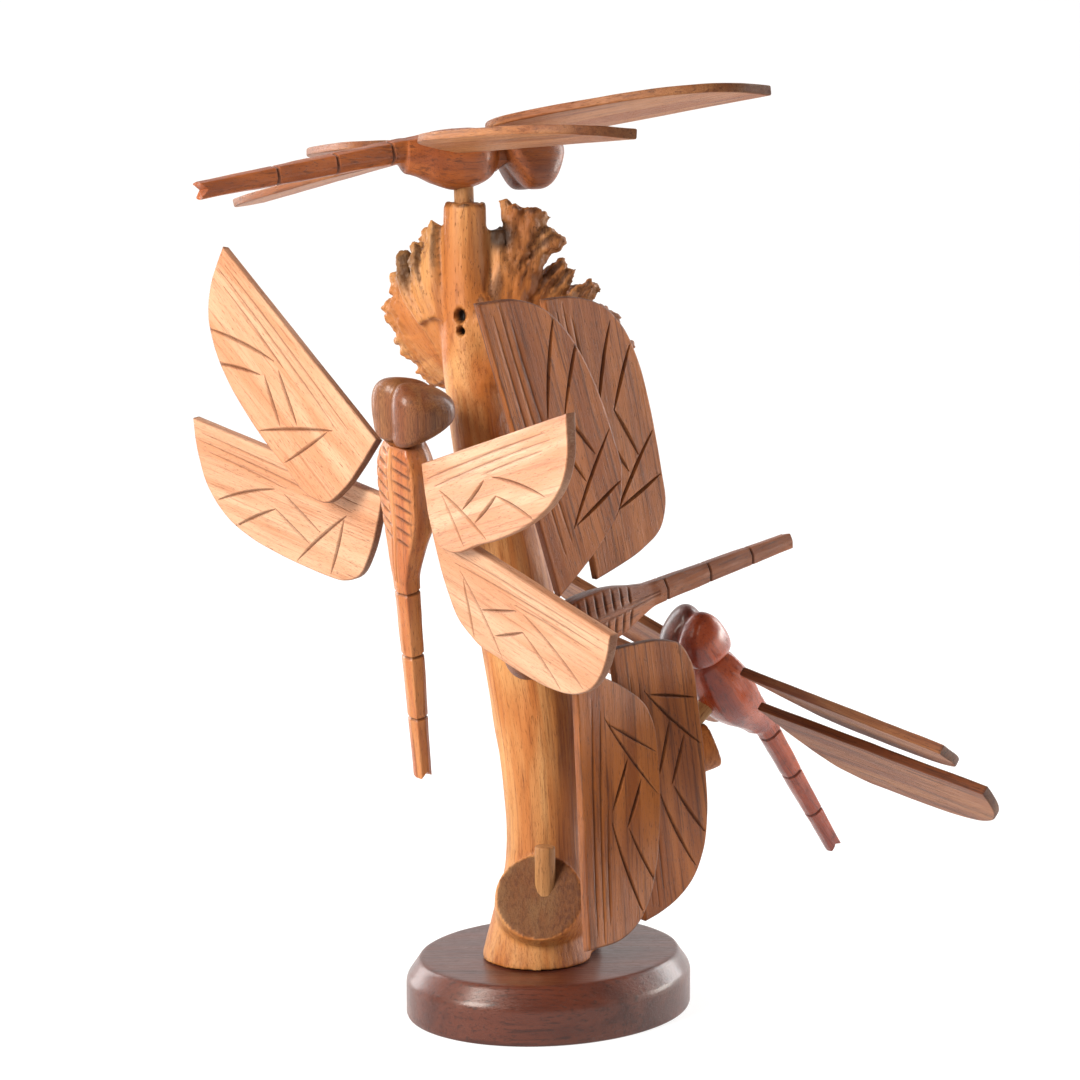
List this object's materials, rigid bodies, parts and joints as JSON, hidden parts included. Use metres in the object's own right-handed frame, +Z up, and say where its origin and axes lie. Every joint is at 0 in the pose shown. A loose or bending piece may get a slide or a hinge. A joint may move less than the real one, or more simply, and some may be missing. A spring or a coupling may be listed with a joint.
{
  "type": "wooden dragonfly carving",
  "caption": "Carved wooden ornament: dragonflies with plate wings pegged around an upright gnarled branch that flares into a burr, on an oval bevelled plinth.",
  "frame": {"origin": "centre of the plinth's underside, which stands on the table", "axes": "+Z up, -Y towards the side it is looked at from, +X to that viewer's right"},
  "size_m": [0.3309, 0.3093, 0.378],
  "materials": {
    "plinth_wood": "dark red-brown hardwood, satin varnish",
    "branch_wood": "pale tan to orange-brown natural branch and burr, oiled, near-black hollows",
    "body_wood": "reddish brown carved wood, satin varnish",
    "wing_wood": "straight-grained tan to mid-brown wood with gouged veins, satin oil",
    "dowel_wood": "round wooden peg, light brown, oiled"
  },
  "bodies": {
    "root": {"plinth": "plinth_wood", "branch": "branch_wood", "dowel_stub": "dowel_wood", "dragonfly_top_body": "body_wood", "dragonfly_top_right_forewing": "wing_wood", "dragonfly_top_left_forewing": "wing_wood", "dragonfly_top_right_hindwing": "wing_wood", "dragonfly_top_left_hindwing": "wing_wood", "dowel_top": "dowel_wood", "dragonfly_left_body": "body_wood", "dragonfly_left_right_forewing": "wing_wood", "dragonfly_left_left_forewing": "wing_wood", "dragonfly_left_right_hindwing": "wing_wood", "dragonfly_left_left_hindwing": "wing_wood", "dowel_left": "dowel_wood", "dragonfly_middle_body": "body_wood", "dragonfly_middle_right_forewing": "wing_wood", "dragonfly_middle_left_forewing": "wing_wood", "dragonfly_middle_right_hindwing": "wing_wood", "dragonfly_middle_left_hindwing": "wing_wood", "dowel_middle": "dowel_wood", "dragonfly_right_body": "body_wood", "dragonfly_right_right_forewing": "wing_wood", "dragonfly_right_left_forewing": "wing_wood", "dragonfly_right_right_hindwing": "wing_wood", "dragonfly_right_left_hindwing": "wing_wood", "dowel_right": "dowel_wood"}
  },
  "joints": []
}
